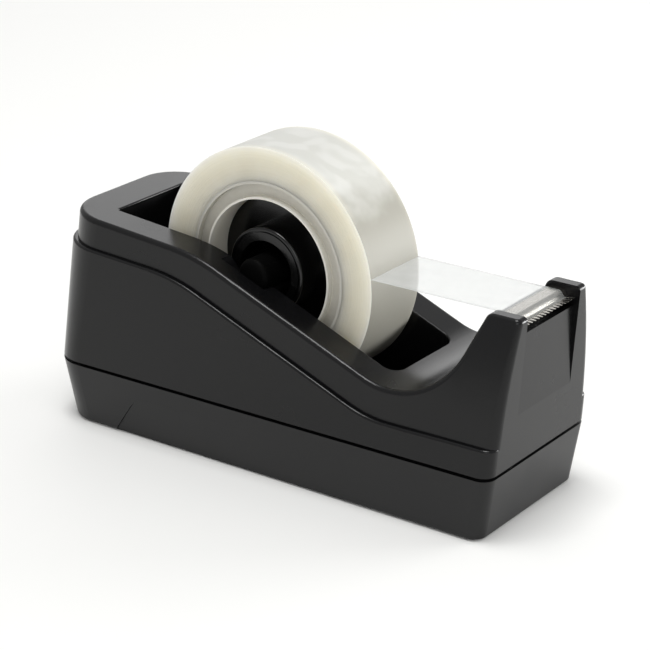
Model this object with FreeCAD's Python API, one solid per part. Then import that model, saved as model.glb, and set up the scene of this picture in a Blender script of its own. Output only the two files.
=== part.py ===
# Weighted desk dispenser for 19 mm adhesive tape.
# Millimetres. +X points to the cutter, +Z up.  The shapes are drawn about the middle of the
# housing at the parting line and written with the origin on the desk, under the middle of the
# overall length.  One STEP file is written for each separate piece.
import FreeCAD, Part
import math
import os

V = FreeCAD.Vector

# Housing, seen from above at the parting line; the taper narrows each side towards the cutter
length = 124.0
width = 43.6
plan_taper = 0.0097
front_corner = 3.2
rear_corner = 8.8

# Parting line between the upper shell and the base
parting_height = 15.5
parting_gap = 0.8

# Upper shell: how far its end walls and the tower's sides move in with height
tower_lean = 0.02
tower_bow = 0.0042
rear_lean = 0.09
front_overhang = 0.074
draft_height = 40.0
tower_blend_inset = 26.0
tower_blend_length = 18.0
top_front_corner = 1.3
top_rear_corner = 13.0

# Upper shell: the line of its rim in side view, from the back to the cutter
rim_rear_height = 54.15
rim_rear_slope = 5.0
rim_bend_inset = 44.2
rim_bend_radius = 42.0
rim_fall_slope = 22.0
valley_radius = 18.3
tower_slope = 66.0
cheek_depth = 5.6
cheek_height = 50.9
cheek_corner = 1.8
rim_rounding = 1.1

# Upper shell: the step that runs round it below the rim
step_depth = 1.1
step_rear_height = 46.5
step_rear_slope = 3.6
step_bend_inset = 38.5
step_bend_radius = 45.0
step_flat_height = 22.46
step_flat_radius = 27.7
step_rounding = 0.6

# Upper shell: walls and the well that takes the roll
shell_wall = 1.9
inner_corner = 0.8
panel_wall = 2.2
well_rear_space = 12.9
well_front_space = 8.4
well_side_space = 2.7
well_floor_space = 2.2
well_corner = 0.9
well_front_corner = 3.6
well_wall = 1.6
mouth_rounding = 0.4

# Cutter tower: cheeks, blade seat and the panel that is set back between the cheeks
cheek_clearance = 1.6
seat_drop = 1.7
tower_solid = 6.0
tower_cap = 7.2
panel_drop = 3.0
panel_setback = 1.4
panel_start = 28.0

# Base
base_wall = 2.2
base_floor = 2.0
base_foot_width = 41.2
base_front_taper = 2.4
base_rear_taper = 2.2
base_edge_rounding = 0.6
base_lift = 0.3
tongue_height = 2.8
tongue_thickness = 1.2
tongue_clearance = 0.1
shoulder_thickness = 2.4

# Finger scoop along the lower edge of both long sides of the base
scoop_rear_inset = 18.8
scoop_front_inset = 38.0
scoop_height = 10.5
scoop_depth = 0.5
scoop_end_depth = 0.12
scoop_ledge = 0.12
scoop_slant = 54.0
scoop_rear_corner = 6.5
scoop_front_corner = 9.0

# Screws, their bosses and the feet that cover them
screw_rear_inset = 9.0
screw_front_inset = 10.0
screw_side_inset = 9.3
screw_diameter = 2.8
screw_length = 16.0
screw_head_diameter = 5.2
screw_head_height = 1.8
screw_drive = 1.6
screw_drive_depth = 1.0
boss_radius = 3.2
boss_height = 10.0
web_thickness = 1.4
hole_clearance = 0.02
head_clearance = 0.3
foot_diameter = 8.4
foot_thickness = 1.4
foot_clearance = 0.1
foot_edge = 0.3

# Ballast
ballast_inset = 16.0
ballast_clearance = 0.3
rib_thickness = 1.2
rib_drop = 4.1

# Roll, core, hub and axle
roll_diameter = 58.0
tape_width = 19.0
core_outer_diameter = 42.0
core_bore = 33.5
core_outer_wall = 0.7
core_inner_wall = 0.5
core_recess = 1.6
winding_edge = 0.15
axle_inset = 56.6
axle_height = 45.8
axle_diameter = 8.2
axle_seat = 3.0
axle_rounding = 1.2
running_clearance = 0.05
slot_clearance = 0.1
slot_tilt = 43.0
slot_end_gap = 0.3
slot_pad_wall = 2.0
hub_grip_clearance = 0.1
hub_disc_thickness = 5.4
hub_tube_diameter = 20.4
hub_tube_bore = 14.4
hub_tube_reach = 0.4
hub_edge = 0.5
hub_lip = 0.75
hub_groove = 0.35
hub_groove_depth = 0.4

# Blade
blade_thickness = 0.5
blade_inset = 0.4
blade_flat = 3.8
blade_step = 1.4
blade_ramp = 0.8
blade_root = 1.0
blade_tooth = 1.2
blade_tip_rise = 0.1
blade_tang = 4.2
blade_side_clearance = 0.1
tooth_count = 16

# Free end of the tape
strip_thickness = 0.1
strip_roll_gap = 0.3

# Values worked out from the sizes above
base_top = parting_height - parting_gap / 2
shell_bottom = parting_height + parting_gap / 2
half_length = length / 2
front_reach = half_length + front_overhang * (cheek_height - rim_rounding - parting_height)
draft_top = parting_height + draft_height
beyond = 100.0
rim_bend = rim_bend_inset - half_length
step_bend = step_bend_inset - half_length
cheek_back = half_length - cheek_depth
tower_blend_start = half_length - tower_blend_inset
tower_blend_end = tower_blend_start + tower_blend_length
seat_height = cheek_height - seat_drop
panel_top = seat_height - panel_drop
roll_radius = roll_diameter / 2
axle_radius = axle_diameter / 2
axle_x = axle_inset - half_length
well_rear = axle_x - roll_radius - well_rear_space
well_front = axle_x + roll_radius + well_front_space
well_half_width = tape_width / 2 + well_side_space
well_floor = axle_height - roll_radius - well_floor_space
axle_length = 2 * (well_half_width + axle_seat)
hub_tube_length = tape_width + 2 * hub_tube_reach
cheek_inside = tape_width / 2 + cheek_clearance
blade_half = cheek_inside - blade_side_clearance
blade_rear = cheek_back + blade_inset
blade_fold = blade_rear + blade_flat
scoop_rear = scoop_rear_inset - half_length
scoop_front = half_length - scoop_front_inset
screw_places = [(x, side * (width / 2 - screw_side_inset))
                for x in (screw_rear_inset - half_length, half_length - screw_front_inset)
                for side in (-1, 1)]
head_seat = foot_thickness + screw_head_height + head_clearance
tongue_top = shell_bottom + tongue_height
floor_top = base_lift + base_floor
ballast_length = length - 2 * ballast_inset
shoulder = base_top - shoulder_thickness
ballast_top = min(well_floor - well_wall - ballast_clearance, shoulder)
rib_top = ballast_top - rib_drop
rib_place = ballast_length / 2 + ballast_clearance + rib_thickness / 2


def direction(angle):
    """Unit vector in side view for a slope in degrees."""
    return V(math.cos(math.radians(angle)), 0, math.sin(math.radians(angle)))


def crossing(point_a, angle_a, point_b, angle_b):
    """Where two lines in side view meet."""
    a, b = direction(angle_a), direction(angle_b)
    gap = point_b - point_a
    return point_a + a * ((gap.x * b.z - gap.z * b.x) / (a.x * b.z - a.z * b.x))


def rounded_wire(corners, radii):
    """Closed outline with each corner rounded by its own radius."""
    runs, arcs = [], []
    count = len(corners)
    for i, corner in enumerate(corners):
        if radii[i] == 0:
            runs.append((corner, corner))
            arcs.append(None)
            continue
        back = (corners[i - 1] - corner).normalize()
        ahead = (corners[(i + 1) % count] - corner).normalize()
        half = back.getAngle(ahead) / 2
        cut = radii[i] / math.tan(half)
        inward = (back + ahead).normalize()
        middle = corner + inward * (radii[i] / math.sin(half) - radii[i])
        runs.append((corner + back * cut, corner + ahead * cut))
        arcs.append(Part.Arc(runs[i][0], middle, runs[i][1]).toShape())
    edges = []
    for i in range(count):
        if arcs[i]:
            edges.append(arcs[i])
        edges.append(Part.LineSegment(runs[i][1], runs[(i + 1) % count][0]).toShape())
    return Part.Wire(edges)


def side_solid(corners, radii, half=beyond):
    """Solid with this outline in side view, running across the housing by half to each side."""
    face = Part.Face(rounded_wire(corners, radii))
    face.translate(V(0, -half, 0))
    return face.extrude(V(0, 2 * half, 0))


def plan_solid(corners, radii, low, high):
    """Solid with this outline seen from above."""
    face = Part.Face(rounded_wire([V(x, y, low) for x, y in corners], radii))
    return face.extrude(V(0, 0, high - low))


def block(x, y, z):
    """Box from three pairs of limits."""
    return Part.makeBox(x[1] - x[0], y[1] - y[0], z[1] - z[0], V(x[0], y[0], z[0]))


def upright(radius, low, high, place):
    return Part.makeCylinder(radius, high - low, V(place[0], place[1], low))


def across(radius, span):
    """Cylinder on the axle's line with its middle on the middle plane."""
    return Part.makeCylinder(radius, span, V(axle_x, -span / 2, axle_height), V(0, 1, 0))


def mirrored(shape):
    return shape.mirror(V(0, 0, 0), V(0, 1, 0))


# Upper shell

def half_width_at(x):
    return width / 2 - plan_taper * x


def eased_side(start, end):
    """Edge that leaves one stretch of the side and meets the next without a corner."""
    third = (end.x - start.x) / 3
    curve = Part.BezierCurve()
    slant = V(third, plan_taper * third, 0)
    curve.setPoles([start, start + slant, end - slant, end])
    return curve.toShape()


def shell_ring(z, inset, front_inset):
    """Outline of the upper shell at one height, set in from its outer face."""
    rise = z - parting_height
    share = rise / draft_height
    rear = -half_length + rear_lean * rise + inset
    front = half_length + front_overhang * rise - front_inset
    drawn_in = tower_lean * rise + tower_bow * rise ** 2
    back = rear_corner + (top_rear_corner - rear_corner) * share - inset
    nose = front_corner + (top_front_corner - front_corner) * share - inset * (1 - share) / 2
    nose = max(nose, inner_corner)
    turn = math.degrees(math.atan(plan_taper))
    oblique = math.hypot(1, plan_taper)

    def side(x, extra):
        return V(x, inset + extra - half_width_at(x), z)

    def centre(x, radius, extra):
        return side(x, extra) + V(0, radius * oblique, 0)

    def spot(middle, radius, degrees):
        return middle + V(math.cos(math.radians(degrees)), math.sin(math.radians(degrees)), 0) * radius

    rear_middle = centre(rear + back, back, 0)
    front_middle = centre(front - nose, nose, drawn_in)
    half = [
        Part.Arc(*[spot(rear_middle, back, d) for d in (180, (450 + turn) / 2, 270 + turn)]).toShape(),
        Part.LineSegment(spot(rear_middle, back, 270 + turn), side(tower_blend_start, 0)).toShape(),
        eased_side(side(tower_blend_start, 0), side(tower_blend_end, drawn_in)),
        Part.LineSegment(side(tower_blend_end, drawn_in), spot(front_middle, nose, 270 + turn)).toShape(),
        Part.Arc(*[spot(front_middle, nose, d) for d in (270 + turn, (630 + turn) / 2, 360)]).toShape(),
    ]
    ends = [Part.LineSegment(V(front, front_middle.y, z), V(front, -front_middle.y, z)).toShape(),
            Part.LineSegment(V(rear, -rear_middle.y, z), V(rear, rear_middle.y, z)).toShape()]
    return Part.Wire(half + ends[:1] + [mirrored(edge) for edge in reversed(half)] + ends[1:])


def leaning_hull(low, inset, front_inset):
    """Solid through the outlines at the foot, the middle and the top of the draft."""
    heights = (low, (low + draft_top) / 2, draft_top)
    return Part.makeLoft([shell_ring(z, inset, front_inset) for z in heights], True, False)


def above_rim(drop):
    """Everything above the rim, or above a line that lies the drop inside it."""
    def inside(point, angle):
        way = direction(angle)
        return point + V(way.z, 0, -way.x) * drop

    rear = V(-half_length, 0, rim_rear_height)
    bend = crossing(rear, -rim_rear_slope, V(rim_bend, 0, 0), 90)
    tower = V(cheek_back, 0, cheek_height)
    rear_in = inside(rear, -rim_rear_slope)
    bend_in = inside(bend, -rim_fall_slope)
    tower_in = inside(tower, tower_slope)
    top_in = inside(tower, 0)
    corners = [crossing(rear_in, -rim_rear_slope, V(-beyond, 0, 0), 90),
               crossing(rear_in, -rim_rear_slope, bend_in, -rim_fall_slope),
               crossing(bend_in, -rim_fall_slope, tower_in, tower_slope),
               crossing(tower_in, tower_slope, top_in, 0),
               V(beyond, 0, top_in.z), V(beyond, 0, beyond), V(-beyond, 0, beyond)]
    return side_solid(corners, [0, rim_bend_radius - drop, valley_radius + drop, cheek_corner, 0, 0, 0])


def above_step():
    rear = V(-half_length, 0, step_rear_height)
    bend = crossing(rear, -step_rear_slope, V(step_bend, 0, 0), 90)
    flat = V(0, 0, step_flat_height)
    corners = [crossing(rear, -step_rear_slope, V(-beyond, 0, 0), 90), bend,
               crossing(bend, -rim_fall_slope, flat, 0),
               V(beyond, 0, step_flat_height), V(beyond, 0, beyond), V(-beyond, 0, beyond)]
    return side_solid(corners, [0, step_bend_radius, step_flat_radius, 0, 0, 0])


def is_rim_edge(edge):
    """Edges of the rim, but not the lines that cross it where one stretch meets the next."""
    box = edge.BoundBox
    crosses = box.YMax - box.YMin > width / 4 and box.XMax - box.XMin < rim_rounding
    at_end = box.XMin > tower_blend_end or box.XMax < -half_length + rear_corner
    low = box.ZMin < shell_bottom + rim_rounding
    return not low and (at_end or not crosses)


def is_step_edge(edge):
    """Edges of the step along both sides and round the back."""
    box = edge.BoundBox
    crosses = box.YMax - box.YMin > width / 4 and box.XMin > -half_length + rear_corner
    return box.ZMin > shell_bottom + step_rounding and not crosses


def shell_outside():
    skirt = leaning_hull(shell_bottom, 0, 0).cut(above_step())
    skirt = skirt.makeFillet(step_rounding, [e for e in skirt.Edges if is_step_edge(e)])
    body = leaning_hull(shell_bottom, step_depth, 0).cut(above_rim(0))
    body = body.makeFillet(rim_rounding, [e for e in body.Edges if is_rim_edge(e)])
    return body.fuse(skirt).removeSplitter()


def well_outline(grow):
    """Corners and radii of the well seen from above, grown outward by its wall."""
    rear, front, half = well_rear - grow, well_front + grow, well_half_width + grow
    corners = [(rear, -half), (front, -half), (front, half), (rear, half)]
    back, nose = well_corner + grow, well_front_corner + grow
    return corners, [back, nose, nose, back]


def well_space():
    corners, radii = well_outline(0)
    return plan_solid(corners, radii, well_floor, beyond)


def slot_space(reach):
    """One open slot for the axle: a seat and a way out that slants back and up."""
    radius = axle_radius + slot_clearance
    seat = across(radius, reach)
    way = block((-radius, radius), (-reach / 2, reach / 2), (0, beyond))
    way.rotate(V(0, 0, 0), V(0, 1, 0), -slot_tilt)
    way.translate(V(axle_x, 0, axle_height))
    return seat.fuse(way)


def slot_pads():
    """Thick places in the well's walls that carry the axle."""
    reach = axle_length / 2 + slot_end_gap + slot_pad_wall
    radius = axle_radius + slot_clearance + slot_pad_wall
    x = (axle_x - 2 * radius, axle_x + radius)
    z = (axle_height - radius, beyond)
    near = block(x, (-reach, -well_half_width), z)
    return near.fuse(mirrored(near))


def boss_and_web(place):
    """Screw boss, and the web that ties it to the side wall above the base's tongue."""
    x, y = place
    top = shell_bottom + boss_height
    reach = (-beyond, y) if y < 0 else (y, beyond)
    web = block((x - web_thickness / 2, x + web_thickness / 2), reach, (tongue_top + tongue_clearance, top))
    return upright(boss_radius, shell_bottom, top, place).fuse(web)


def shell_inside():
    """The hollow of the upper shell around its well."""
    hollow = leaning_hull(shell_bottom - parting_gap, step_depth + shell_wall, panel_wall + panel_setback)
    hollow = hollow.cut(above_rim(shell_wall))
    hollow = hollow.cut(block((cheek_back - tower_solid, beyond), (-beyond, beyond),
                              (seat_height - tower_cap, beyond)))
    corners, radii = well_outline(well_wall)
    hollow = hollow.cut(plan_solid(corners, radii, -beyond, beyond))
    hollow = hollow.cut(slot_pads())
    for place in screw_places:
        hollow = hollow.cut(boss_and_web(place))
    return hollow


def cutter_gap():
    """The space between the cheeks: above the blade seat, and in front of the panel set back there."""
    sides = (-cheek_inside, cheek_inside)
    over_seat = block((cheek_back - tower_solid, beyond), sides, (seat_height, beyond))
    before_seat = block((blade_fold - blade_thickness / 2, beyond), sides, (panel_top, beyond))
    front_top = half_length + front_overhang * (panel_top - parting_height)
    front_low = half_length + front_overhang * (panel_start - parting_height)
    slant = side_solid([V(front_low, 0, panel_start), V(front_top - panel_setback, 0, panel_top),
                        V(front_top - panel_setback, 0, cheek_height + beyond),
                        V(beyond, 0, cheek_height + beyond), V(beyond, 0, panel_start)],
                       [0, 0, 0, 0, 0], cheek_inside)
    return over_seat.fuse(before_seat).fuse(slant)


def is_mouth_edge(edge):
    """Edges where the well's walls meet the top of the rim."""
    box = edge.BoundBox
    margin = rim_rounding / 2
    within = box.XMin > well_rear - margin and box.XMax < well_front + margin and (
        box.YMin > -well_half_width - margin and box.YMax < well_half_width + margin)
    upright_edge = box.XMax - box.XMin < margin and box.YMax - box.YMin < margin
    return within and box.ZMin > step_flat_height and not upright_edge


def upper_shell():
    shell = shell_outside().cut(shell_inside())
    corners, radii = well_outline(well_wall)
    tub = plan_solid(corners, radii, well_floor - well_wall, shell_bottom + rim_rounding)
    shell = shell.fuse(tub).cut(well_space())
    shell = shell.makeFillet(mouth_rounding, [e for e in shell.Edges if is_mouth_edge(e)])
    shell = shell.cut(slot_space(axle_length + 2 * slot_end_gap)).cut(cutter_gap())
    shell = shell.cut(blade_slot())
    for place in screw_places:
        shell = shell.cut(upright(screw_diameter / 2 + hole_clearance, shell_bottom - parting_gap,
                                  shell_bottom + boss_height - well_wall, place))
    return shell.removeSplitter()


def blade_slot():
    return block((blade_rear, blade_rear + blade_thickness), (-blade_half, blade_half),
                 (seat_height + blade_thickness - blade_tang, beyond))


# Base

def base_half_width(x, z):
    """Half of the base's width; its sides follow the housing at the top and run parallel at the desk."""
    share = (base_top - z) / base_top
    return half_width_at(x) * (1 - share) + base_foot_width / 2 * share


def plan_corners(rear, front, half_width):
    """Four corners seen from above, each end with its own half of the width."""
    return [(rear, -half_width(rear)), (front, -half_width(front)),
            (front, half_width(front)), (rear, half_width(rear))]


def base_ring(z, inset):
    """Outline of the base at one height; it draws in towards the desk."""
    share = (base_top - z) / base_top
    rear = -half_length + base_rear_taper * share + inset
    front = half_length - base_front_taper * share - inset
    corners = [V(x, y, z) for x, y in plan_corners(rear, front, lambda x: base_half_width(x, z) - inset)]
    back, nose = rear_corner - inset, max(front_corner - inset, inner_corner)
    return rounded_wire(corners, [back, nose, nose, back])


def base_hull(low, inset):
    return Part.makeLoft([base_ring(low, inset), base_ring(base_top, inset)], True, True)


def finger_scoop():
    """Cutter for the far side: a fine ledge along its upper edge, deepest at the rear end below."""
    def section(x, depth):
        low = base_half_width(x, 0) - depth
        high = base_half_width(x, scoop_height) - scoop_ledge
        return Part.makePolygon([V(x, high, scoop_height), V(x, low, 0), V(x, width, 0),
                                 V(x, width, scoop_height), V(x, high, scoop_height)])

    slope = Part.makeLoft([section(scoop_rear, scoop_depth), section(scoop_front, scoop_end_depth)], True, True)
    rear_top = scoop_rear + scoop_height / math.tan(math.radians(scoop_slant))
    outline = side_solid([V(scoop_rear, 0, 0), V(scoop_front, 0, 0), V(scoop_front, 0, scoop_height),
                          V(rear_top, 0, scoop_height)], [0, 0, scoop_front_corner, scoop_rear_corner])
    return slope.common(outline)


def tongue_outline(inset):
    """Corners and radii of the tongue, which clears the upper shell's inner wall."""
    rise = tongue_top - parting_height
    outer = step_depth + shell_wall + tongue_clearance + inset
    rear = -half_length + rear_lean * rise + outer
    front = half_length - panel_wall - panel_setback - tongue_clearance - inset
    back = rear_corner - outer + tongue_clearance
    drawn_in = outer + tower_lean * rise + tower_bow * rise ** 2
    return plan_corners(rear, front, lambda x: half_width_at(x) - drawn_in), [back, inner_corner, inner_corner, back]


def ballast_half_width():
    """Half of the width left for the ballast at its narrowest place."""
    return base_half_width(ballast_length / 2, floor_top) - base_wall - ballast_clearance


def base_shell():
    body = base_hull(base_lift, 0)
    bottom = [e for e in body.Edges if e.BoundBox.ZMax < base_lift + base_edge_rounding]
    body = body.makeFillet(base_edge_rounding, bottom)
    body = body.cut(finger_scoop()).common(block((-beyond, beyond), (0, beyond), (0, beyond)))
    body = body.fuse(mirrored(body)).removeSplitter()
    pan = Part.makeLoft([base_ring(floor_top, base_wall), base_ring(shoulder, base_wall)], True, True)
    mouth, mouth_radii = tongue_outline(tongue_thickness)
    rim, rim_radii = tongue_outline(0)
    body = body.cut(pan).fuse(plan_solid(rim, rim_radii, shoulder, tongue_top))
    body = body.cut(plan_solid(mouth, mouth_radii, shoulder, beyond))
    ribs = [block((side * rib_place - rib_thickness / 2, side * rib_place + rib_thickness / 2),
                  (-ballast_half_width(), ballast_half_width()), (floor_top, rib_top))
            for side in (-1, 1)]
    bosses = [upright(boss_radius, floor_top, base_top, place) for place in screw_places]
    body = body.fuse(ribs + bosses)
    for place in screw_places:
        body = body.cut(upright(foot_diameter / 2 + foot_clearance, 0, foot_thickness, place))
        body = body.cut(upright(screw_head_diameter / 2 + head_clearance, 0, head_seat, place))
        body = body.cut(upright(screw_diameter / 2 + hole_clearance, 0, base_top, place))
    return body.removeSplitter()


def ballast_weight():
    return block((-ballast_length / 2, ballast_length / 2),
                 (-ballast_half_width(), ballast_half_width()), (floor_top, ballast_top))


# Fasteners and feet

def housing_screw(place):
    radius = screw_head_diameter / 2
    head_bottom = head_seat - screw_head_height
    head = upright(radius, head_bottom, head_seat, place)
    drive = block((place[0] - screw_drive / 2, place[0] + screw_drive / 2),
                  (place[1] - radius, place[1] + radius), (head_bottom, head_bottom + screw_drive_depth))
    shank = upright(screw_diameter / 2, head_seat, head_seat + screw_length, place)
    return head.cut(drive).fuse(shank)


def housing_screws():
    return Part.makeCompound([housing_screw(place) for place in screw_places])


def foot(place):
    pad = upright(foot_diameter / 2, 0, foot_thickness, place)
    return pad.makeChamfer(foot_edge, [e for e in pad.Edges if e.BoundBox.ZMax < foot_edge])


# Blade

def blade():
    t = blade_thickness
    top = seat_height + t
    valley = V(blade_fold + blade_ramp, 0, top - blade_step)
    tip = V(valley.x + blade_root + blade_tooth, 0, valley.z + blade_tip_rise)
    corners = [V(blade_rear, 0, top - blade_tang), V(blade_rear, 0, top), V(blade_fold, 0, top), valley, tip,
               tip + V(0, 0, -t), valley + V(-t / 2, 0, -t), V(blade_fold - t / 2, 0, top - t),
               V(blade_rear + t, 0, top - t), V(blade_rear + t, 0, top - blade_tang)]
    strip = side_solid(corners, [0] * len(corners), blade_half)
    pitch = 2 * blade_half / tooth_count
    for i in range(tooth_count + 1):
        y = -blade_half + i * pitch
        notch = Part.makePolygon([V(tip.x - blade_tooth, y, 0), V(tip.x + t, y - pitch * (0.5 + t / blade_tooth / 2), 0),
                                  V(tip.x + t, y + pitch * (0.5 + t / blade_tooth / 2), 0),
                                  V(tip.x - blade_tooth, y, 0)])
        strip = strip.cut(Part.Face(notch).extrude(V(0, 0, beyond)))
    return strip


# Roll, core, hub, axle and the free end of the tape

def ring(outer_diameter, bore, edge):
    """Ring as wide as the tape, its outer corners eased."""
    body = across(outer_diameter / 2, tape_width)
    body = body.makeChamfer(edge, [e for e in body.Edges if e.Closed])
    return body.cut(across(bore / 2, tape_width))


def tape_core():
    """Thick ring with a shallow recess in each end."""
    outer, inner = core_outer_diameter / 2, core_bore / 2
    body = across(outer, tape_width).cut(across(inner, tape_width))
    groove = across(outer - core_outer_wall, beyond).cut(across(inner + core_inner_wall, beyond))
    groove = groove.cut(across(outer, tape_width - 2 * core_recess))
    return body.cut(groove)


def tape_winding():
    return ring(roll_diameter, core_outer_diameter, winding_edge)


def hub():
    disc = across(core_bore / 2 - hub_grip_clearance, hub_disc_thickness)
    tube = across(hub_tube_diameter / 2, hub_tube_length)
    tube = tube.makeFillet(hub_edge, [e for e in tube.Edges if e.Closed])
    body = disc.fuse(tube)
    lip = hub_tube_diameter / 2 - hub_lip
    groove = across(lip, hub_tube_length).cut(across(lip - hub_groove, hub_tube_length))
    body = body.cut(groove.cut(across(lip, hub_tube_length - 2 * hub_groove_depth)))
    for side in (-1, 1):
        pocket = Part.makeCylinder(hub_tube_bore / 2, hub_tube_length,
                                   V(axle_x, side * hub_disc_thickness / 2, axle_height), V(0, side, 0))
        body = body.cut(pocket)
    return body.cut(across(axle_radius + running_clearance, tape_width))


def axle():
    rod = across(axle_radius, axle_length)
    return rod.makeFillet(axle_rounding, [e for e in rod.Edges if e.Closed])


def tape_strip():
    """Free end: level from the roll to the blade, then down its ramp to the teeth."""
    t = strip_thickness
    low = seat_height + blade_thickness
    roll_face = axle_x + math.sqrt(roll_radius ** 2 - (low - axle_height) ** 2)
    valley = V(blade_fold + blade_ramp, 0, low - blade_step)
    root = V(valley.x + blade_root, 0, valley.z + blade_tip_rise * blade_root / (blade_root + blade_tooth))
    corners = [V(roll_face + strip_roll_gap, 0, low), V(blade_fold, 0, low), valley, root,
               root + V(0, 0, t), valley + V(0, 0, t), V(blade_fold, 0, low + t),
               V(roll_face + strip_roll_gap, 0, low + t)]
    return side_solid(corners, [0] * len(corners), tape_width / 2)


parts = {
    "upper_shell": upper_shell,
    "base_shell": base_shell,
    "ballast_weight": ballast_weight,
    "housing_screws": housing_screws,
    "cutter_blade": blade,
    "axle": axle,
    "hub": hub,
    "tape_core": tape_core,
    "tape_winding": tape_winding,
    "tape_strip": tape_strip,
}
foot_names = ["foot_rear_near", "foot_rear_far", "foot_front_near", "foot_front_far"]

os.makedirs("parts", exist_ok=True)


def save(name, shape):
    """Write one piece, moved so that the origin lies under the middle of the overall length."""
    shape.translate(V((half_length - front_reach) / 2, 0, 0))
    shape.exportStep("parts/" + name + ".step")
    print(name, shape.isValid(), len(shape.Solids), round(shape.Volume, 1))


for name, make in parts.items():
    save(name, make())
for name, place in zip(foot_names, screw_places):
    save(name, foot(place))
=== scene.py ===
import math

import bmesh
import bpy
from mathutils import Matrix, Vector


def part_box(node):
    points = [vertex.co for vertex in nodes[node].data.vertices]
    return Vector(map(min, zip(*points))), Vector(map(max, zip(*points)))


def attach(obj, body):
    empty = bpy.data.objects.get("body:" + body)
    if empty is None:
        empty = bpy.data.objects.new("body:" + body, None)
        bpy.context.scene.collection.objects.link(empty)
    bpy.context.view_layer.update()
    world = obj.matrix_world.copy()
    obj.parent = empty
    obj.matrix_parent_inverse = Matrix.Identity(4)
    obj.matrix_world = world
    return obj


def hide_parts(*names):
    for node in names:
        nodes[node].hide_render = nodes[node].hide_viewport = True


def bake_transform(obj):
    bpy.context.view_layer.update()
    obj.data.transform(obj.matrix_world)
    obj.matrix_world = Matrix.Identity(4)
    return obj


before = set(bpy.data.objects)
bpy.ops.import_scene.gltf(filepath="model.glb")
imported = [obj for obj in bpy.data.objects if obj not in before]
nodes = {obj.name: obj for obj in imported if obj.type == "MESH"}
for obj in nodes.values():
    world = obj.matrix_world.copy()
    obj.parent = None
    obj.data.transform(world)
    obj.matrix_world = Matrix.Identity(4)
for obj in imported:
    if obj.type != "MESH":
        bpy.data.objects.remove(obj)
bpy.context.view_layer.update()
print("frame loaded with", len(nodes), "parts")


def linearColor(hexValue):
    channels = [int(hexValue[i:i + 2], 16) / 255 for i in (1, 3, 5)]
    return [c / 12.92 if c <= 0.04045 else ((c + 0.055) / 1.055) ** 2.4 for c in channels] + [1.0]


# A colour mix has its share at socket 0, its two colours at 6 and 7, and its result at output 2
def addNode(tree, kind, links=None, **settings):
    node = tree.nodes.new(kind)
    for name, value in settings.items():
        setattr(node, name, value)
    for name, value in (links or {}).items():
        if isinstance(value, bpy.types.NodeSocket):
            tree.links.new(value, node.inputs[name])
        else:
            node.inputs[name].default_value = value
    return node


def emptyMaterial(name):
    material = bpy.data.materials.new(name)
    material.use_nodes = True
    material.node_tree.nodes.clear()
    return material, material.node_tree


# Materials

noiseRange = {"From Min": 0.3, "From Max": 0.7}     # where nearly all of a noise's values lie

mouldedSizes = {
    "grain": 0.00045,       # spark-eroded texture, drawn about four times its real 0.1 mm so that it shows
    "grainDepth": 0.000012,
    "drift": 0.018,         # slow change of sheen where the plastic cooled unevenly
}
mouldings = {
    "upperShell": {"name": "satinAbsUpper", "darkTint": "#070708", "lightTint": "#0e0e0f",
                   "sheenFrom": 0.22, "sheenTo": 0.28, "gloss": 0.28},
    "baseShell": {"name": "satinAbsBase", "darkTint": "#0a0a0b", "lightTint": "#121213",
                  "sheenFrom": 0.3, "sheenTo": 0.38, "gloss": 0.34},
    "hub": {"name": "glossStyreneHub", "darkTint": "#050505", "lightTint": "#080808",
            "sheenFrom": 0.16, "sheenTo": 0.22, "gloss": 0.4},
    "axle": {"name": "turnedAcetalAxle", "darkTint": "#020202", "lightTint": "#040404",
             "sheenFrom": 0.55, "sheenTo": 0.62, "gloss": 0.04},
}


def mouldedPlastic(name, darkTint, lightTint, sheenFrom, sheenTo, gloss):
    # ABS from an eroded steel mould: black all through, a soft satin sheen that drifts a little.  The
    # styrene of the hub is glossier, and the acetal of the axle is dull
    material, tree = emptyMaterial(name)
    place = addNode(tree, "ShaderNodeTexCoord").outputs["Object"]
    grain = addNode(tree, "ShaderNodeTexNoise",
                    {"Vector": place, "Scale": 1 / mouldedSizes["grain"], "Detail": 2.0, "Roughness": 0.6})
    drift = addNode(tree, "ShaderNodeTexNoise",
                    {"Vector": place, "Scale": 1 / mouldedSizes["drift"], "Detail": 3.0, "Roughness": 0.5})
    sheen = addNode(tree, "ShaderNodeMapRange",
                    {"Value": drift.outputs["Fac"], "To Min": sheenFrom, "To Max": sheenTo, **noiseRange})
    tint = addNode(tree, "ShaderNodeMix",
                   {0: grain.outputs["Fac"], 6: linearColor(darkTint), 7: linearColor(lightTint)},
                   data_type="RGBA")
    bump = addNode(tree, "ShaderNodeBump", {"Height": grain.outputs["Fac"], "Strength": 0.22,
                                            "Distance": mouldedSizes["grainDepth"]})
    shader = addNode(tree, "ShaderNodeBsdfPrincipled",
                     {"Base Color": tint.outputs[2], "Roughness": sheen.outputs["Result"],
                      "IOR": 1.53, "Specular IOR Level": gloss, "Normal": bump.outputs["Normal"]})
    addNode(tree, "ShaderNodeOutputMaterial", {"Surface": shader.outputs["BSDF"]})
    return material


bladeLow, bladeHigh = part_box("cutter_blade")
rollLow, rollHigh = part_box("tape_winding")
rollCentre = (rollLow + rollHigh) / 2

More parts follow.
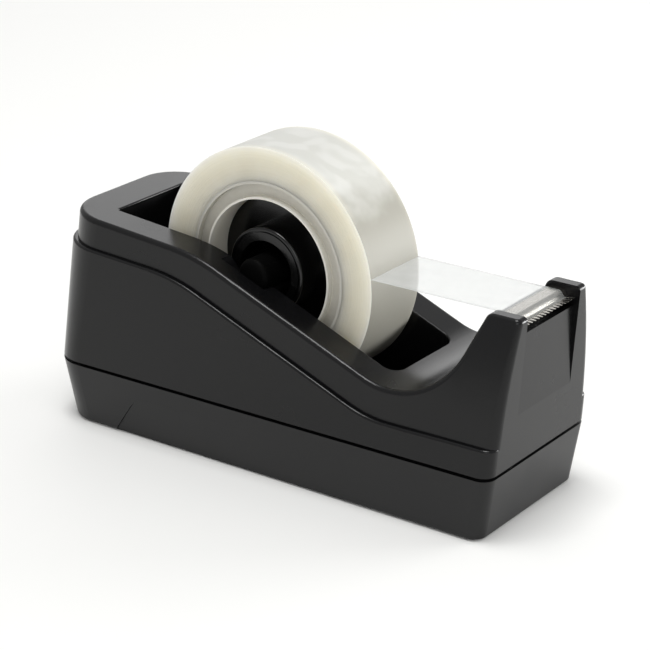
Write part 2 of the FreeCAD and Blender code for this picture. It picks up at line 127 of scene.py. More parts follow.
rollSizes = {
    "radius": 0.029, "coreRadius": 0.021, "width": 0.019,
    "turns": 44,            # one drawn turn stands for about five of the real 0.04 mm ones
    "play": 0.00003,        # how far a turn may sit in from the side of the roll
    "around": 180, "seed": 7,
    "pathRadius": 0.00001,  # the turns are swept round a circle that is all but a point
    "farDraws": 500.0,      # keeps the far side's random draws apart from the near side's
    "creaseAngle": 0.5,     # edges that bend more than this, in radians, stay sharp
    "sideFacing": 0.5,      # faces whose normal leans this far sideways are the roll's side
}
edgeFinish = {
    "rings": 0.00055,       # drawn much coarser than the real turns, so that rings show
    "ringDepth": 0.00002,
    "ringTint": "#b9b096", "ringShare": 0.4,
    "clouds": 0.007,        # where the adhesive lies thicker
    "cloudTint": "#e6e2d2",
    # how far out from the core towards the last turn, and the tint there: painted shade next to the core,
    # painted light paler towards the last turn
    "shadedTints": ((0.0, "#bdb9a6"), (0.12, "#d3ceba"), (0.45, "#e2ddca"), (0.86, "#eae7d9"), (1.0, "#ebeae2")),
}


def woundTapeEdge():
    # Side of a wound roll of acrylic tape: ivory from the adhesive, ringed by the turns
    look = edgeFinish
    material, tree = emptyMaterial("woundTapeEdge")
    place = addNode(tree, "ShaderNodeTexCoord").outputs["Object"]
    centred = addNode(tree, "ShaderNodeMapping",
                      {"Vector": place, "Location": (-rollCentre.x, 0, -rollCentre.z)})
    flat = addNode(tree, "ShaderNodeVectorMath", {0: centred.outputs["Vector"], 1: (1, 0, 1)},
                   operation="MULTIPLY")
    out = addNode(tree, "ShaderNodeVectorMath", {0: flat.outputs["Vector"]}, operation="LENGTH")
    turns = addNode(tree, "ShaderNodeTexNoise",
                    {"W": out.outputs["Value"], "Scale": 1 / look["rings"], "Detail": 3.0},
                    noise_dimensions="1D")
    cloud = addNode(tree, "ShaderNodeTexNoise", {"Vector": centred.outputs["Vector"],
                                                 "Scale": 1 / look["clouds"], "Detail": 3.0})
    share = addNode(tree, "ShaderNodeMapRange",
                    {"Value": out.outputs["Value"], "From Min": rollSizes["coreRadius"],
                     "From Max": rollSizes["radius"]})
    # painted shade darkens the side next to the core; painted light makes it paler towards the last turn
    ramp = addNode(tree, "ShaderNodeValToRGB", {"Fac": share.outputs["Result"]})
    while len(ramp.color_ramp.elements) < len(look["shadedTints"]):
        ramp.color_ramp.elements.new(0.5)
    for element, (position, tint) in zip(ramp.color_ramp.elements, look["shadedTints"]):
        element.position = position
        element.color = linearColor(tint)
    ringed = addNode(tree, "ShaderNodeMix",
                     {0: turns.outputs["Fac"], 6: ramp.outputs["Color"], 7: linearColor(look["ringTint"])},
                     data_type="RGBA")
    weak = addNode(tree, "ShaderNodeMix",
                   {0: look["ringShare"], 6: ramp.outputs["Color"], 7: ringed.outputs[2]},
                   data_type="RGBA")
    warm = addNode(tree, "ShaderNodeMix",
                   {0: cloud.outputs["Fac"], 6: weak.outputs[2], 7: linearColor(look["cloudTint"])},
                   data_type="RGBA")
    bump = addNode(tree, "ShaderNodeBump",
                   {"Height": turns.outputs["Fac"], "Strength": 0.15, "Distance": look["ringDepth"]})
    shader = addNode(tree, "ShaderNodeBsdfPrincipled",
                     {"Base Color": warm.outputs[2], "Roughness": 0.42, "IOR": 1.48,
                      "Subsurface Weight": 0.7, "Subsurface Radius": (0.009, 0.0084, 0.0072),
                      "Subsurface Scale": 1.0, "Normal": bump.outputs["Normal"]})
    addNode(tree, "ShaderNodeOutputMaterial", {"Surface": shader.outputs["BSDF"]})
    return material


faceFinish = {
    "darkTint": "#c5c5bf", "lightTint": "#cecec9",
    "patch": 0.009, "patchFrom": 0.42, "patchTo": 0.6,      # trapped air, in patches about 9 mm wide
    "edgeTint": "#d2d0c5", "edgeFrom": 0.0075, "edgeTo": 0.0095,        # paler over the last 2 mm
    # painted shade: grey laid over the lower part of the roll's face
    "shadeTint": "#9b998f",
    "shadeTop": 0.028, "shadeFull": 0.018,      # heights of the painted shade's ragged top, above the roll's middle, with the ragged reach added
    "raggedGrain": 0.006, "raggedReach": 0.008,
    "ripple": 0.003, "rippleDepth": 0.00008,
}


def woundTapeFace():
    # Outer turn of the roll: matt film over many layers, milky, with faint patches where air is trapped,
    # and painted shade: greyer below a ragged line a little above the roll's middle
    look = faceFinish
    material, tree = emptyMaterial("woundTapeFace")
    place = addNode(tree, "ShaderNodeTexCoord").outputs["Object"]
    patch = addNode(tree, "ShaderNodeTexNoise",
                    {"Vector": place, "Scale": 1 / look["patch"], "Detail": 1.5, "Distortion": 0.6})
    sharper = addNode(tree, "ShaderNodeMapRange",
                      {"Value": patch.outputs["Fac"], "From Min": look["patchFrom"],
                       "From Max": look["patchTo"]}, interpolation_type="SMOOTHSTEP")
    milky = addNode(tree, "ShaderNodeMix",
                    {0: sharper.outputs["Result"], 6: linearColor(look["darkTint"]),
                     7: linearColor(look["lightTint"])}, data_type="RGBA")
    split = addNode(tree, "ShaderNodeSeparateXYZ", {"Vector": place})
    across = addNode(tree, "ShaderNodeMath", {0: split.outputs["Y"]}, operation="ABSOLUTE")
    atEdge = addNode(tree, "ShaderNodeMapRange",
                     {"Value": across.outputs[0], "From Min": look["edgeFrom"], "From Max": look["edgeTo"]},
                     interpolation_type="SMOOTHSTEP")
    whole = addNode(tree, "ShaderNodeMix",
                    {0: atEdge.outputs["Result"], 6: milky.outputs[2], 7: linearColor(look["edgeTint"])},
                    data_type="RGBA")
    ragged = addNode(tree, "ShaderNodeTexNoise",
                     {"Vector": place, "Scale": 1 / look["raggedGrain"], "Detail": 2.0})
    shifted = addNode(tree, "ShaderNodeMath",
                      {0: ragged.outputs["Fac"], 1: look["raggedReach"], 2: split.outputs["Z"]},
                      operation="MULTIPLY_ADD")
    # painted shade, full low on the face and gone above a ragged line
    lowShade = addNode(tree, "ShaderNodeMapRange",
                    {"Value": shifted.outputs[0], "From Min": rollCentre.z + look["shadeFull"],
                     "From Max": rollCentre.z + look["shadeTop"], "To Min": 1.0, "To Max": 0.0},
                    interpolation_type="SMOOTHSTEP")
    tint = addNode(tree, "ShaderNodeMix",
                   {0: lowShade.outputs["Result"], 6: whole.outputs[2], 7: linearColor(look["shadeTint"])},
                   data_type="RGBA")
    ripple = addNode(tree, "ShaderNodeTexNoise",
                     {"Vector": place, "Scale": 1 / look["ripple"], "Detail": 1.0})
    bump = addNode(tree, "ShaderNodeBump",
                   {"Height": ripple.outputs["Fac"], "Strength": 0.2, "Distance": look["rippleDepth"]})
    shader = addNode(tree, "ShaderNodeBsdfPrincipled",
                     {"Base Color": tint.outputs[2], "Roughness": 0.5, "IOR": 1.48,
                      "Specular IOR Level": 0.25, "Subsurface Weight": 0.2,
                      "Subsurface Radius": (0.004, 0.0038, 0.0034),
                      "Subsurface Scale": 1.0, "Normal": bump.outputs["Normal"]})
    addNode(tree, "ShaderNodeOutputMaterial", {"Surface": shader.outputs["BSDF"]})
    return material


filmFinish = {
    "haze": 0.006, "darkTint": "#d0d2d1", "lightTint": "#d6d8d7",
    "coverFrom": 0.36, "coverTo": 0.4,          # share of the light that one layer stops
    "edgeFrom": 0.00925, "edgeTo": 0.00945, "edgeHighlightCover": 0.3,       # painted highlight: the slit edge shows as a pale line
    "stuckReach": 0.0008, "stuckShare": 0.3,
}


def thinFilm():
    # One layer of matt acetate film: milky, lets most light through, soft sheen.  It turns clear
    # where its adhesive wets the steel
    look = filmFinish
    material, tree = emptyMaterial("thinFilm")
    place = addNode(tree, "ShaderNodeTexCoord").outputs["Object"]
    haze = addNode(tree, "ShaderNodeTexNoise",
                   {"Vector": place, "Scale": 1 / look["haze"], "Detail": 2.0})
    tint = addNode(tree, "ShaderNodeMix",
                   {0: haze.outputs["Fac"], 6: linearColor(look["darkTint"]),
                    7: linearColor(look["lightTint"])}, data_type="RGBA")
    veil = addNode(tree, "ShaderNodeMapRange",
                   {"Value": haze.outputs["Fac"], "To Min": look["coverFrom"], "To Max": look["coverTo"],
                    **noiseRange})
    split = addNode(tree, "ShaderNodeSeparateXYZ", {"Vector": place})
    across = addNode(tree, "ShaderNodeMath", {0: split.outputs["Y"]}, operation="ABSOLUTE")
    # painted highlight along the film's slit edges
    edgeHighlight = addNode(tree, "ShaderNodeMapRange",
                      {"Value": across.outputs[0], "From Min": look["edgeFrom"],
                       "From Max": look["edgeTo"], "To Min": 0.0, "To Max": look["edgeHighlightCover"]})
    stuck = addNode(tree, "ShaderNodeMapRange",
                    {"Value": split.outputs["X"], "From Min": bladeLow.x,
                     "From Max": bladeLow.x + look["stuckReach"],
                     "To Min": 1.0, "To Max": look["stuckShare"]})
    hazy = addNode(tree, "ShaderNodeMath", {0: veil.outputs["Result"], 1: edgeHighlight.outputs["Result"]})
    cover = addNode(tree, "ShaderNodeMath", {0: hazy.outputs[0], 1: stuck.outputs["Result"]},
                    operation="MULTIPLY")
    shader = addNode(tree, "ShaderNodeBsdfPrincipled",
                     {"Base Color": tint.outputs[2], "Roughness": 0.3, "IOR": 1.48,
                      "Specular IOR Level": 0.25, "Alpha": cover.outputs[0]})
    addNode(tree, "ShaderNodeOutputMaterial", {"Surface": shader.outputs["BSDF"]})
    return material


coreFinish = {
    "boreRadius": 0.0168, "wallRadius": 0.0176, "boreLightTint": "#f0ecdf",
    "darkTint": "#bcb9ae", "lightTint": "#c8c5bb",
    "marks": 0.0012, "markDepth": 0.00003,      # die marks, drawn a few times coarser so that they show
}


def extrudedCore():
    # Styrene core: cream, lets some light through.  Its bore is painted paler: painted light, for light
    # coming through the tape
    look = coreFinish
    material, tree = emptyMaterial("extrudedCore")
    place = addNode(tree, "ShaderNodeTexCoord").outputs["Object"]
    centred = addNode(tree, "ShaderNodeMapping",
                      {"Vector": place, "Location": (-rollCentre.x, 0, -rollCentre.z)})
    flat = addNode(tree, "ShaderNodeVectorMath", {0: centred.outputs["Vector"], 1: (1, 0, 1)},
                   operation="MULTIPLY")
    out = addNode(tree, "ShaderNodeVectorMath", {0: flat.outputs["Vector"]}, operation="LENGTH")
    wall = addNode(tree, "ShaderNodeMapRange",
                   {"Value": out.outputs["Value"], "From Min": look["boreRadius"],
                    "From Max": look["wallRadius"]})
    marks = addNode(tree, "ShaderNodeTexNoise",
                    {"Vector": place, "Scale": 1 / look["marks"], "Detail": 2.0})
    ring = addNode(tree, "ShaderNodeMix",
                   {0: marks.outputs["Fac"], 6: linearColor(look["darkTint"]),
                    7: linearColor(look["lightTint"])}, data_type="RGBA")
    # painted light: the bore's wall is paler than the rest of the core
    tint = addNode(tree, "ShaderNodeMix",
                   {0: wall.outputs["Result"], 6: linearColor(look["boreLightTint"]), 7: ring.outputs[2]},
                   data_type="RGBA")
    bump = addNode(tree, "ShaderNodeBump",
                   {"Height": marks.outputs["Fac"], "Strength": 0.15, "Distance": look["markDepth"]})
    shader = addNode(tree, "ShaderNodeBsdfPrincipled",
                     {"Base Color": tint.outputs[2], "Roughness": 0.38, "IOR": 1.55,
                      "Subsurface Weight": 0.4, "Subsurface Radius": (0.003, 0.0028, 0.0024),
                      "Subsurface Scale": 1.0, "Normal": bump.outputs["Normal"]})
    addNode(tree, "ShaderNodeOutputMaterial", {"Surface": shader.outputs["BSDF"]})
    return material


steelSizes = {
    "lines": 0.00025,       # roll marks, drawn about five times their real 0.05 mm so that they show
    "lineDepth": 0.00001,
}
steels = {
    "blade": {"name": "rolledSpringSteel", "tint": "#9f9c96", "roughness": 0.24, "spread": 0.03,
              "stretch": (1, 0.06, 1)},
    "screw": {"name": "platedScrewSteel", "tint": "#b9b6ae", "roughness": 0.3, "spread": 0.14,
              "stretch": (1, 1, 1)},
}


def rolledSteel(name, tint, roughness, spread, stretch):
    # Steel, cold rolled and blanked: a cool shine broken by fine lines that the rolls leave along the
    # strip.  The screws' plating breaks it evenly instead
    material, tree = emptyMaterial(name)
    place = addNode(tree, "ShaderNodeTexCoord").outputs["Object"]
    drawn = addNode(tree, "ShaderNodeMapping", {"Vector": place, "Scale": stretch})
    lines = addNode(tree, "ShaderNodeTexNoise", {"Vector": drawn.outputs["Vector"],
                                                 "Scale": 1 / steelSizes["lines"], "Detail": 3.0})
    shine = addNode(tree, "ShaderNodeMapRange",
                    {"Value": lines.outputs["Fac"], "To Min": roughness, "To Max": roughness + spread,
                     **noiseRange})
    bump = addNode(tree, "ShaderNodeBump", {"Height": lines.outputs["Fac"], "Strength": spread,
                                            "Distance": steelSizes["lineDepth"]})
    shader = addNode(tree, "ShaderNodeBsdfPrincipled",
                     {"Base Color": linearColor(tint), "Metallic": 1.0,
                      "Roughness": shine.outputs["Result"], "Normal": bump.outputs["Normal"]})
    addNode(tree, "ShaderNodeOutputMaterial", {"Surface": shader.outputs["BSDF"]})
    return material


ironFinish = {
    "darkTint": "#3a3836", "lightTint": "#5b5854",
    "skin": 0.0014, "skinDepth": 0.0002,        # marks of the sand's grains, drawn a few times coarser
}


def castIron():
    # Sand-cast iron bar: dull dark grey, coarse skin
    look = ironFinish
    material, tree = emptyMaterial("castIron")
    place = addNode(tree, "ShaderNodeTexCoord").outputs["Object"]
    skin = addNode(tree, "ShaderNodeTexNoise",
                   {"Vector": place, "Scale": 1 / look["skin"], "Detail": 5.0})
    tint = addNode(tree, "ShaderNodeMix",
                   {0: skin.outputs["Fac"], 6: linearColor(look["darkTint"]),
                    7: linearColor(look["lightTint"])}, data_type="RGBA")
    bump = addNode(tree, "ShaderNodeBump",
                   {"Height": skin.outputs["Fac"], "Strength": 0.6, "Distance": look["skinDepth"]})
    shader = addNode(tree, "ShaderNodeBsdfPrincipled",
                     {"Base Color": tint.outputs[2], "Metallic": 0.7, "Roughness": 0.6,
                      "Normal": bump.outputs["Normal"]})
    addNode(tree, "ShaderNodeOutputMaterial", {"Surface": shader.outputs["BSDF"]})
    return material


rubberFinish = {
    "darkTint": "#1d1d1d", "lightTint": "#2c2b2a",
    "dust": 0.0008, "dustDepth": 0.00004,       # specks, drawn coarser than real ones so that they show
}


def cutRubber():
    # Rubber pad cut from sheet: dark grey, matt, slightly dusty
    look = rubberFinish
    material, tree = emptyMaterial("cutRubber")
    place = addNode(tree, "ShaderNodeTexCoord").outputs["Object"]
    dust = addNode(tree, "ShaderNodeTexNoise",
                   {"Vector": place, "Scale": 1 / look["dust"], "Detail": 4.0})
    tint = addNode(tree, "ShaderNodeMix",
                   {0: dust.outputs["Fac"], 6: linearColor(look["darkTint"]),
                    7: linearColor(look["lightTint"])}, data_type="RGBA")
    bump = addNode(tree, "ShaderNodeBump",
                   {"Height": dust.outputs["Fac"], "Strength": 0.4, "Distance": look["dustDepth"]})
    shader = addNode(tree, "ShaderNodeBsdfPrincipled",
                     {"Base Color": tint.outputs[2], "Roughness": 0.82, "IOR": 1.52,
                      "Normal": bump.outputs["Normal"]})
    addNode(tree, "ShaderNodeOutputMaterial", {"Surface": shader.outputs["BSDF"]})
    return material


finishes = {piece: mouldedPlastic(**look) for piece, look in mouldings.items()}
finishes["edge"] = woundTapeEdge()
finishes["face"] = woundTapeFace()
finishes["film"] = thinFilm()
finishes["core"] = extrudedCore()
for piece, look in steels.items():
    finishes[piece] = rolledSteel(**look)
finishes["iron"] = castIron()
finishes["rubber"] = cutRubber()
print("materials made:", len(finishes))


# Parts that keep their shape and only take a finish

keptParts = {
    "upper_shell": "upperShell", "base_shell": "baseShell", "ballast_weight": "iron",
    "housing_screws": "screw", "axle": "axle", "hub": "hub", "tape_core": "core",
    "foot_rear_near": "rubber", "foot_rear_far": "rubber",
    "foot_front_near": "rubber", "foot_front_far": "rubber",
}
for nodeName, finishName in keptParts.items():
    mesh = nodes[nodeName].data
    mesh.materials.clear()
    mesh.materials.append(finishes[finishName])
print("finishes given to", len(keptParts), "parts")


def meshObject(name, work):
    mesh = bpy.data.meshes.new(name)
    work.to_mesh(mesh)
    work.free()
    piece = bpy.data.objects.new(name, mesh)
    bpy.context.scene.collection.objects.link(piece)
    return piece


def newTree(name, sockets):
    tree = bpy.data.node_groups.new(name, "GeometryNodeTree")
    tree.interface.new_socket("Geometry", in_out="INPUT", socket_type="NodeSocketGeometry")
    for label, kind in sockets.items():
        tree.interface.new_socket(label, in_out="INPUT", socket_type=kind)
    tree.interface.new_socket("Geometry", in_out="OUTPUT", socket_type="NodeSocketGeometry")
    return tree


def grow(piece, tree, values):
    modifier = piece.modifiers.new(tree.name, "NODES")
    modifier.node_group = tree
    for item in tree.interface.items_tree:
        if item.item_type == "SOCKET" and item.in_out == "INPUT" and item.name in values:
            modifier[item.identifier] = values[item.name]
    bpy.context.view_layer.update()
    grown = bpy.data.meshes.new_from_object(piece.evaluated_get(bpy.context.evaluated_depsgraph_get()))
    piece.modifiers.remove(modifier)
    piece.data = grown
    grown.name = piece.name
    return piece


# Wound tape: one closed ring whose side steps in and out a little at every turn

def windingTree():
    tree = newTree("woundTurns", {
        "Turns": "NodeSocketInt", "Core Radius": "NodeSocketFloat", "Roll Radius": "NodeSocketFloat",
        "Width": "NodeSocketFloat", "Play": "NodeSocketFloat", "Around": "NodeSocketInt",
        "Seed": "NodeSocketInt", "Path Radius": "NodeSocketFloat", "Far Draws": "NodeSocketFloat",
        "Crease Angle": "NodeSocketFloat", "Side Facing": "NodeSocketFloat",
        "Place": "NodeSocketVector", "Side": "NodeSocketMaterial", "Face": "NodeSocketMaterial"})
    given = addNode(tree, "NodeGroupInput").outputs
    # A turn has an inner and an outer corner on each side.  The line runs out along the near side's
    # corners and back along the far side's
    count = addNode(tree, "ShaderNodeMath", {0: given["Turns"], 1: 4.0}, operation="MULTIPLY").outputs[0]
    line = addNode(tree, "GeometryNodeMeshLine", {"Count": count})
    index = addNode(tree, "GeometryNodeInputIndex").outputs[0]
    last = addNode(tree, "ShaderNodeMath", {0: count, 1: 1.0}, operation="SUBTRACT").outputs[0]
    back = addNode(tree, "ShaderNodeMath", {0: last, 1: index}, operation="SUBTRACT").outputs[0]
    step = addNode(tree, "ShaderNodeMath", {0: index, 1: back}, operation="MINIMUM").outputs[0]
    pair = addNode(tree, "ShaderNodeMath", {0: step, 1: 2.0}, operation="DIVIDE").outputs[0]
    turn = addNode(tree, "ShaderNodeMath", {0: pair}, operation="FLOOR").outputs[0]
    outer = addNode(tree, "ShaderNodeMath", {0: step, 1: 2.0}, operation="MODULO").outputs[0]
    reached = addNode(tree, "ShaderNodeMath", {0: turn, 1: outer}, operation="ADD").outputs[0]
    share = addNode(tree, "ShaderNodeMath", {0: reached, 1: given["Turns"]}, operation="DIVIDE").outputs[0]
    depth = addNode(tree, "ShaderNodeMath", {0: given["Roll Radius"], 1: given["Core Radius"]},
                    operation="SUBTRACT").outputs[0]
    wound = addNode(tree, "ShaderNodeMath", {0: share, 1: depth}, operation="MULTIPLY").outputs[0]
    radius = addNode(tree, "ShaderNodeMath", {0: given["Core Radius"], 1: wound},
                     operation="ADD").outputs[0]
    half = addNode(tree, "ShaderNodeMath", {0: count, 1: 0.5}, operation="MULTIPLY").outputs[0]
    middle = addNode(tree, "ShaderNodeMath", {0: half, 1: 0.5}, operation="SUBTRACT").outputs[0]
    far = addNode(tree, "ShaderNodeMath", {0: index, 1: middle}, operation="GREATER_THAN").outputs[0]
    apart = addNode(tree, "ShaderNodeMath", {0: far, 1: given["Far Draws"]},
                    operation="MULTIPLY").outputs[0]
    drawn = addNode(tree, "ShaderNodeMath", {0: turn, 1: apart}, operation="ADD").outputs[0]
    draw = addNode(tree, "FunctionNodeRandomValue",
                   {"ID": drawn, "Seed": given["Seed"], "Min": 0.0, "Max": 1.0}, data_type="FLOAT")
    inset = addNode(tree, "ShaderNodeMath", {0: draw.outputs[1], 1: given["Play"]},
                    operation="MULTIPLY").outputs[0]
    halfWidth = addNode(tree, "ShaderNodeMath", {0: given["Width"], 1: 0.5},
                        operation="MULTIPLY").outputs[0]
    reach = addNode(tree, "ShaderNodeMath", {0: halfWidth, 1: inset}, operation="SUBTRACT").outputs[0]
    twice = addNode(tree, "ShaderNodeMath", {0: far, 1: 2.0}, operation="MULTIPLY").outputs[0]
    sign = addNode(tree, "ShaderNodeMath", {0: twice, 1: 1.0}, operation="SUBTRACT").outputs[0]
    side = addNode(tree, "ShaderNodeMath", {0: reach, 1: sign}, operation="MULTIPLY").outputs[0]
    profile = addNode(tree, "ShaderNodeCombineXYZ", {"X": radius, "Y": side})
    placed = addNode(tree, "GeometryNodeSetPosition", {"Geometry": line.outputs["Mesh"],
                                                       "Position": profile.outputs["Vector"]})
    curve = addNode(tree, "GeometryNodeMeshToCurve", {"Mesh": placed.outputs["Geometry"]})
    closed = addNode(tree, "GeometryNodeSetSplineCyclic",
                     {"Geometry": curve.outputs["Curve"], "Cyclic": True})
    circle = addNode(tree, "GeometryNodeCurvePrimitiveCircle",
                     {"Resolution": given["Around"], "Radius": given["Path Radius"]})
    swept = addNode(tree, "GeometryNodeCurveToMesh", {"Curve": circle.outputs["Curve"],
                                                      "Profile Curve": closed.outputs["Geometry"]})
    upright = addNode(tree, "GeometryNodeTransform",
                      {"Geometry": swept.outputs["Mesh"], "Translation": given["Place"],
                       "Rotation": (math.pi / 2, 0, 0)})
    bend = addNode(tree, "GeometryNodeInputMeshEdgeAngle").outputs["Unsigned Angle"]
    sharp = addNode(tree, "ShaderNodeMath", {0: bend, 1: given["Crease Angle"]},
                    operation="GREATER_THAN").outputs[0]
    soft = addNode(tree, "GeometryNodeSetShadeSmooth",
                   {"Geometry": upright.outputs["Geometry"], "Shade Smooth": True}, domain="FACE")
    creased = addNode(tree, "GeometryNodeSetShadeSmooth",
                      {"Geometry": soft.outputs["Geometry"], "Selection": sharp, "Shade Smooth": False},
                      domain="EDGE")
    normal = addNode(tree, "GeometryNodeInputNormal").outputs["Normal"]
    facing = addNode(tree, "ShaderNodeSeparateXYZ", {"Vector": normal}).outputs["Y"]
    leaning = addNode(tree, "ShaderNodeMath", {0: facing}, operation="ABSOLUTE").outputs[0]
    onSide = addNode(tree, "ShaderNodeMath", {0: leaning, 1: given["Side Facing"]},
                     operation="GREATER_THAN").outputs[0]
    solid = addNode(tree, "GeometryNodeRealizeInstances", {"Geometry": creased.outputs["Geometry"]})
    faced = addNode(tree, "GeometryNodeSetMaterial",
                    {"Geometry": solid.outputs["Geometry"], "Material": given["Face"]})
    sided = addNode(tree, "GeometryNodeSetMaterial",
                    {"Geometry": faced.outputs["Geometry"], "Selection": onSide, "Material": given["Side"]})
    addNode(tree, "NodeGroupOutput", {"Geometry": sided.outputs["Geometry"]})
    return tree


tapeWinding = grow(meshObject("tapeWinding", bmesh.new()), windingTree(), {
    "Turns": rollSizes["turns"], "Core Radius": rollSizes["coreRadius"], "Roll Radius": rollSizes["radius"],
    "Width": rollSizes["width"], "Play": rollSizes["play"], "Around": rollSizes["around"],
    "Seed": rollSizes["seed"], "Path Radius": rollSizes["pathRadius"], "Far Draws": rollSizes["farDraws"],
    "Crease Angle": rollSizes["creaseAngle"], "Side Facing": rollSizes["sideFacing"],
    "Place": tuple(rollCentre), "Side": finishes["edge"], "Face": finishes["face"]})
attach(tapeWinding, "roll")
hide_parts("tape_winding")
print("winding made:", len(tapeWinding.data.polygons), "faces")


# Cutter: a folded strip of steel with a row of ground teeth

bladeSizes = {
    "thickness": 0.0005, "bendSteps": 6,
    "rearRadius": 0.0004, "foldRadius": 0.0014, "valleyRadius": 0.0003,
    "top": 0.0038, "ramp": 0.0008, "step": 0.0014, "root": 0.0007, "tang": 0.0042,
    "teeth": 16, "tooth": 0.0015, "tipRise": 0.0001,
    "toothShare": 0.72,     # of the pitch; the rest is the gap between two teeth
    "toothThickness": 0.00022, "tipHalf": 0.0002, "tipThickness": 0.0001,
    "overlap": 0.00005,     # how far a tooth reaches back into the strip
}


def roundedLine(corners, radii, steps):
    line = [corners[0]]
    for before, corner, after, radius in zip(corners, corners[1:], corners[2:], radii):
        into, out = (corner - before).normalized(), (after - corner).normalized()
        half = into.angle(out) / 2
        reach = min(radius * math.tan(half), (corner - before).length / 2, (after - corner).length / 2)
        for i in range(steps + 1):
            t = i / steps
            a, b = corner - into * reach, corner + out * reach
            line.append(a.lerp(corner, t).lerp(corner.lerp(b, t), t))
    return line + [corners[-1]]


def bladeSection(low, high):
    sizes = bladeSizes
    rear, top = low.x, high.z
    fold = rear + sizes["top"]
    valley = Vector((fold + sizes["ramp"], 0, top - sizes["step"]))
    root = valley + Vector((sizes["root"], 0, sizes["tipRise"] / 2))
    corners = [Vector((rear, 0, top - sizes["tang"])), Vector((rear, 0, top)), Vector((fold, 0, top)),
               valley, root]
    radii = (sizes["rearRadius"], sizes["foldRadius"], sizes["valleyRadius"])
    outside = roundedLine(corners, radii, sizes["bendSteps"])
    inside = []
    for i, point in enumerate(outside):
        along = (outside[min(i + 1, len(outside) - 1)] - outside[max(i - 1, 0)]).normalized()
        inside.append(point + Vector((along.z, 0, -along.x)) * sizes["thickness"])
    return outside, inside, root


def bladePlate(outside, inside, halfWidth):
    work = bmesh.new()
    loop = outside + inside[::-1]
    rings = [[work.verts.new((p.x, y, p.z)) for p in loop] for y in (-halfWidth, halfWidth)]
    count = len(loop)
    for i in range(count):
        j = (i + 1) % count
        work.faces.new((rings[0][i], rings[0][j], rings[1][j], rings[1][i]))
    for ring in rings:
        for i in range(len(outside) - 1):
            work.faces.new((ring[i], ring[i + 1], ring[count - 2 - i], ring[count - 1 - i]))
    bmesh.ops.recalc_face_normals(work, faces=work.faces)
    return work


def toothMesh(pitch):
    sizes = bladeSizes
    back, out, end = -sizes["overlap"], sizes["tooth"], sizes["tipHalf"]
    root, tip = sizes["toothThickness"], sizes["tipThickness"]
    half = pitch / 2 * sizes["toothShare"]
    rise = sizes["tipRise"] / 2
    work = bmesh.new()
    points = [(back, -half, 0), (back, half, 0), (out, end, rise), (out, -end, rise),
              (back, -half, -root), (back, half, -root), (out, end, rise - tip), (out, -end, rise - tip)]
    verts = [work.verts.new(p) for p in points]
    for corners in ((0, 1, 2, 3), (4, 5, 6, 7), (0, 1, 5, 4), (1, 2, 6, 5), (2, 3, 7, 6), (3, 0, 4, 7)):
        work.faces.new([verts[i] for i in corners])
    bmesh.ops.recalc_face_normals(work, faces=work.faces)
    return work


def teethTree():
    tree = newTree("cutterTeeth", {"Teeth": "NodeSocketInt", "Pitch": "NodeSocketFloat",
                                   "First Tooth": "NodeSocketVector", "Tooth": "NodeSocketObject",
                                   "Steel": "NodeSocketMaterial"})
    given = addNode(tree, "NodeGroupInput").outputs
    stride = addNode(tree, "ShaderNodeCombineXYZ", {"Y": given["Pitch"]})
    row = addNode(tree, "GeometryNodeMeshLine",
                  {"Count": given["Teeth"], "Start Location": given["First Tooth"],
                   "Offset": stride.outputs["Vector"]})
    shape = addNode(tree, "GeometryNodeObjectInfo", {"Object": given["Tooth"]})
    placed = addNode(tree, "GeometryNodeInstanceOnPoints", {"Points": row.outputs["Mesh"],
                                                            "Instance": shape.outputs["Geometry"]})
    whole = addNode(tree, "GeometryNodeJoinGeometry")
    tree.links.new(placed.outputs["Instances"], whole.inputs["Geometry"])
    tree.links.new(given["Geometry"], whole.inputs["Geometry"])
    real = addNode(tree, "GeometryNodeRealizeInstances", {"Geometry": whole.outputs["Geometry"]})
    steel = addNode(tree, "GeometryNodeSetMaterial", {"Geometry": real.outputs["Geometry"],
                                                      "Material": given["Steel"]})
    addNode(tree, "NodeGroupOutput", {"Geometry": steel.outputs["Geometry"]})
    return tree


bladeLine, bladeUnderside, toothRoot = bladeSection(bladeLow, bladeHigh)
pitch = (bladeHigh.y - bladeLow.y) / bladeSizes["teeth"]
tooth = meshObject("oneTooth", toothMesh(pitch))
plate = meshObject("cutterBlade", bladePlate(bladeLine, bladeUnderside, bladeHigh.y))
cutterBlade = grow(plate, teethTree(), {
    "Teeth": bladeSizes["teeth"], "Pitch": pitch, "Tooth": tooth, "Steel": finishes["blade"],
    "First Tooth": (toothRoot.x, bladeLow.y + pitch / 2, toothRoot.z)})
bpy.data.objects.remove(tooth)
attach(cutterBlade, "housing")
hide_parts("cutter_blade")
print("cutter made:", len(cutterBlade.data.polygons), "faces")


# Free end of the tape: a film that leaves the roll and lies on the cutter

filmSizes = {
    "thickness": 0.00005, "along": 60, "across": 16,
    "lift": 0.00006,        # of its middle above the steel
    "sag": 0.00025, "rollGap": 0.0001,
    "nearRise": 0.00015,    # the near edge stands a little proud where it meets the cutter
    "riseSharpness": 3,     # how fast that dies away along and across the film
}
tapeLevel = bladeHigh.z + filmSizes["lift"]
tapeStart = (rollCentre.x + math.sqrt(rollSizes["radius"] ** 2 - (tapeLevel - rollCentre.z) ** 2)
             + filmSizes["rollGap"])
tapeEnd = bladeLow.x + bladeSizes["rearRadius"]


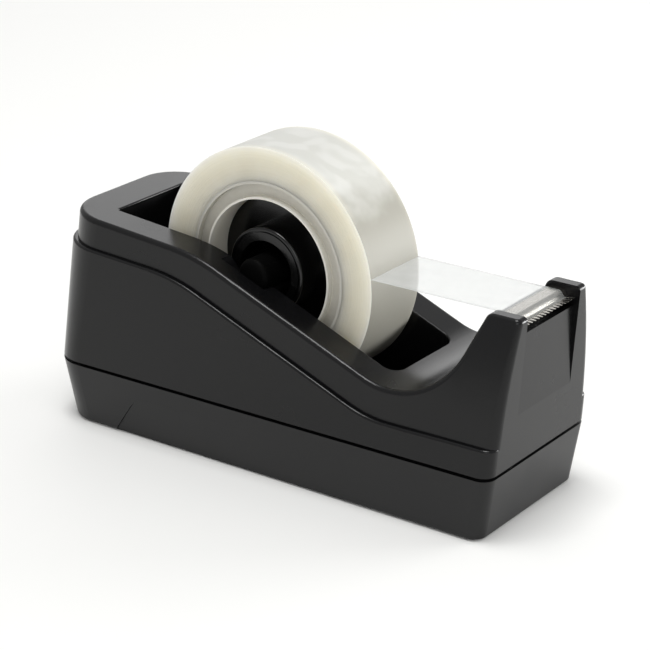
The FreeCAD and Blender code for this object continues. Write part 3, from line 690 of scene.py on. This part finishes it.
def freeTape(start, end, level, bladeTop):
    sizes = filmSizes
    low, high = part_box("tape_strip")
    stretch = [start + (end - start) * i / sizes["along"] for i in range(sizes["along"])]
    path = [(x, level, math.sin(math.pi * (x - start) / (end - start))) for x in stretch]
    path += [(point.x, point.z + sizes["lift"], 0.0) for point in bladeTop if point.x >= end]
    sharpness = sizes["riseSharpness"]
    work = bmesh.new()
    grid = []
    for x, z, free in path:
        row = []
        for j in range(sizes["across"] + 1):
            v = j / sizes["across"]
            reach = min((x - start) / (end - start), 1.0)
            proud = sizes["nearRise"] * reach ** sharpness * (1 - v) ** sharpness if x < end else 0.0
            sag = sizes["sag"] * free * (1 - (2 * v - 1) ** 2)
            row.append(work.verts.new((x, low.y + (high.y - low.y) * v, z - sag + proud)))
        grid.append(row)
    for a, b in zip(grid, grid[1:]):
        for j in range(sizes["across"]):
            work.faces.new((a[j], b[j], b[j + 1], a[j + 1]))
    bmesh.ops.recalc_face_normals(work, faces=work.faces)
    for face in work.faces:
        face.smooth = True
    return work


tapeStrip = meshObject("tapeStrip", freeTape(tapeStart, tapeEnd, tapeLevel, bladeLine))
wall = tapeStrip.modifiers.new("filmThickness", "SOLIDIFY")
wall.thickness = filmSizes["thickness"]
wall.offset = 0.0
tapeStrip.data.materials.append(finishes["film"])
tapeStrip.visible_shadow = False        # so thin a film throws no shadow worth seeing
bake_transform(tapeStrip)
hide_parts("tape_strip")
print("free tape made")


# Studio: pale floor, soft boxes, camera

studio = {
    "floorHalf": 4.0, "floorTint": "#f4f4f2", "floorRoughness": 0.8,
    "skyTint": "#ffffff", "skyPower": 0.55,
    "lens": 126.04, "sensor": 36.0, "nearClip": 0.01,
    "target": (0.0028639, 0.0, 0.031526), "distance": 0.52583, "azimuth": 35.655, "elevation": 21.729,
    "boxes": ({"name": "boxAbove", "place": (0.0, -0.1, 0.9), "size": (0.32, 0.3), "power": 3.9},
              {"name": "boxRight", "place": (0.36, 0.47, 0.07), "size": (0.4, 0.1), "power": 3.4},
              {"name": "boxBack", "place": (-0.5, 0.7, 0.36), "size": (0.6, 0.4), "power": 1.0},
              {"name": "boxFront", "place": (0.5, -0.75, 0.5), "size": (0.6, 0.5), "power": 1.6}),
}


def softBox(name, place, size, power):
    light = bpy.data.lights.new(name, "AREA")
    light.shape = "RECTANGLE"
    light.size, light.size_y = size
    light.energy = power
    lamp = bpy.data.objects.new(name, light)
    lamp.location = place
    lamp.rotation_euler = (Vector(studio["target"]) - Vector(place)).to_track_quat("-Z", "Y").to_euler()
    bpy.context.scene.collection.objects.link(lamp)


def buildStudio():
    # Painted board for a floor: near white, matt, the same all over
    half = studio["floorHalf"]
    work = bmesh.new()
    corners = ((-half, -half), (half, -half), (half, half), (-half, half))
    work.faces.new([work.verts.new((x, y, 0)) for x, y in corners])
    floor = meshObject("studioFloor", work)
    material, tree = emptyMaterial("paintedBoard")
    shader = addNode(tree, "ShaderNodeBsdfPrincipled", {"Base Color": linearColor(studio["floorTint"]),
                                                        "Roughness": studio["floorRoughness"]})
    addNode(tree, "ShaderNodeOutputMaterial", {"Surface": shader.outputs["BSDF"]})
    floor.data.materials.append(material)
    world = bpy.data.worlds.new("studioAir")
    world.use_nodes = True
    world.node_tree.nodes.clear()
    sky = addNode(world.node_tree, "ShaderNodeBackground", {"Color": linearColor(studio["skyTint"]),
                                                            "Strength": studio["skyPower"]})
    addNode(world.node_tree, "ShaderNodeOutputWorld", {"Surface": sky.outputs["Background"]})
    bpy.context.scene.world = world
    for box in studio["boxes"]:
        softBox(**box)


def placeCamera():
    azimuth, elevation = math.radians(studio["azimuth"]), math.radians(studio["elevation"])
    back = Vector((math.sin(azimuth) * math.cos(elevation), -math.cos(azimuth) * math.cos(elevation),
                   math.sin(elevation)))
    camera = bpy.data.objects.new("camera", bpy.data.cameras.new("camera"))
    camera.data.lens = studio["lens"]
    camera.data.sensor_width = studio["sensor"]
    camera.data.clip_start = studio["nearClip"]
    camera.location = Vector(studio["target"]) + back * studio["distance"]
    camera.rotation_euler = back.to_track_quat("Z", "Y").to_euler()
    bpy.context.scene.collection.objects.link(camera)
    bpy.context.scene.camera = camera


buildStudio()
placeCamera()
bpy.context.scene.view_settings.view_transform = "Standard"
print("studio ready")
